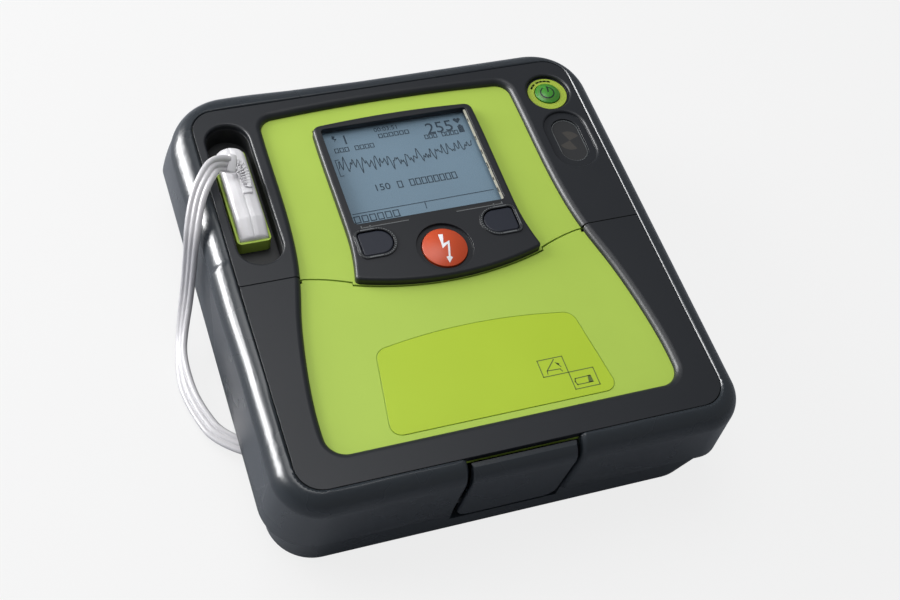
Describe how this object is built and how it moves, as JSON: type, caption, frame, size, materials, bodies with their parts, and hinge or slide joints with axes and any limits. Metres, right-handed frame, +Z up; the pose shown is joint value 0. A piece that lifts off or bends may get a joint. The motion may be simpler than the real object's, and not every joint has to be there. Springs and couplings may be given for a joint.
{
  "type": "defibrillator",
  "caption": "Portable defibrillator in a dark rounded case with a green face, screen, soft keys, domed shock button, hinged battery lid with a front latch, and a white corded connector.",
  "frame": {"origin": "centre of the case, at the level that its rubber feet stand on", "axes": "+X to the right across the face, +Y to the back edge where the screen is, +Z up out of the face"},
  "size_m": [0.258, 0.2465, 0.0886],
  "materials": {
    "case_plastic": "fine-textured moulded plastic",
    "frame_plastic": "fine-textured moulded plastic",
    "green_plastic": "satin moulded plastic",
    "label_film": "satin printed film",
    "bezel_plastic": "satin",
    "window": "polished",
    "screen": "grey-blue liquid crystal",
    "sheet_metal": "plated sheet",
    "steel": "ground",
    "brass": "plated",
    "key_rubber": "silicone",
    "shock_plastic": "translucent, glossy",
    "power_plastic": "glossy",
    "ring_plastic": "translucent",
    "white_plastic": "satin",
    "cord_jacket": "soft vinyl",
    "seal_rubber": "matte",
    "circuit_board": "solder mask",
    "component_case": "potted"
  },
  "bodies": {
    "housing": {"outer_case": "case_plastic", "corner_blocks": "case_plastic", "base_tray": "case_plastic", "rubber_feet": "seal_rubber", "case_screws": "steel", "upper_frame": "frame_plastic", "upper_panel": "green_plastic", "hinge_pins": "steel", "hinge_brackets": "frame_plastic", "latch_pin": "steel", "latch_spring": "steel", "latch_housing": "case_plastic", "screen_bezel": "bezel_plastic", "display_window": "window", "power_ring": "ring_plastic", "power_switch": "circuit_board", "status_window": "window", "status_indicator": "bezel_plastic", "lcd_panel": "screen", "backlight": "white_plastic", "screen_tray": "sheet_metal", "keypad_mat": "key_rubber", "keypad_board": "circuit_board", "connector_pocket": "case_plastic", "connector_receptacle": "green_plastic", "connector_contacts": "brass", "strain_relief": "white_plastic", "electrode_cord": "cord_jacket", "cord_grommet": "seal_rubber", "compartment_tray": "case_plastic", "battery_case": "component_case", "battery_cover": "component_case", "battery_cells": "sheet_metal", "battery_contacts": "brass", "main_board": "circuit_board", "board_pillars": "case_plastic", "pulse_capacitor": "component_case", "charge_transformer": "component_case", "pulse_inductor": "brass", "transfer_relay": "component_case", "speaker": "sheet_metal", "microphone": "sheet_metal", "upper_gasket": "seal_rubber", "lid_gasket": "seal_rubber", "plug_shell_left": "white_plastic", "plug_shell_right": "white_plastic"},
    "lid": {"lid_frame": "frame_plastic", "lid_panel": "green_plastic", "lid_label": "label_film", "hinge_arms": "frame_plastic", "lid_catch": "frame_plastic"},
    "front_latch": {"latch": "case_plastic"},
    "left_key": {"left_soft_key": "key_rubber"},
    "right_key": {"right_soft_key": "key_rubber"},
    "shock_key": {"shock_button": "shock_plastic"},
    "power_key": {"power_button": "power_plastic"}
  },
  "joints": [
    {"name": "lid_hinge", "type": "hinge", "parent": "housing", "child": "lid", "pos_m": [0.092, 0.0076, 0.0676], "axis": [-1, 0, 0], "range_deg": [0, 90]},
    {"name": "latch_hinge", "type": "hinge", "parent": "housing", "child": "front_latch", "pos_m": [0, -0.1105, 0.022], "axis": [1, 0, 0], "range_deg": [0, 12], "stiffness_Nm_per_rad": 0.4, "springref_deg": -5.73},
    {"name": "left_key_press", "type": "slide", "parent": "housing", "child": "left_key", "axis": [0, 0, -1], "range_m": [0, 0.0012], "stiffness_N_per_m": 900, "springref_m": -0.0008},
    {"name": "right_key_press", "type": "slide", "parent": "housing", "child": "right_key", "axis": [0, 0, -1], "range_m": [0, 0.0012], "stiffness_N_per_m": 900, "springref_m": -0.0008},
    {"name": "shock_press", "type": "slide", "parent": "housing", "child": "shock_key", "axis": [0, 0, -1], "range_m": [0, 0.0012], "stiffness_N_per_m": 1500, "springref_m": -0.0008},
    {"name": "power_press", "type": "slide", "parent": "housing", "child": "power_key", "axis": [0, 0, -1], "range_m": [0, 0.0012], "stiffness_N_per_m": 900, "springref_m": -0.0008}
  ]
}
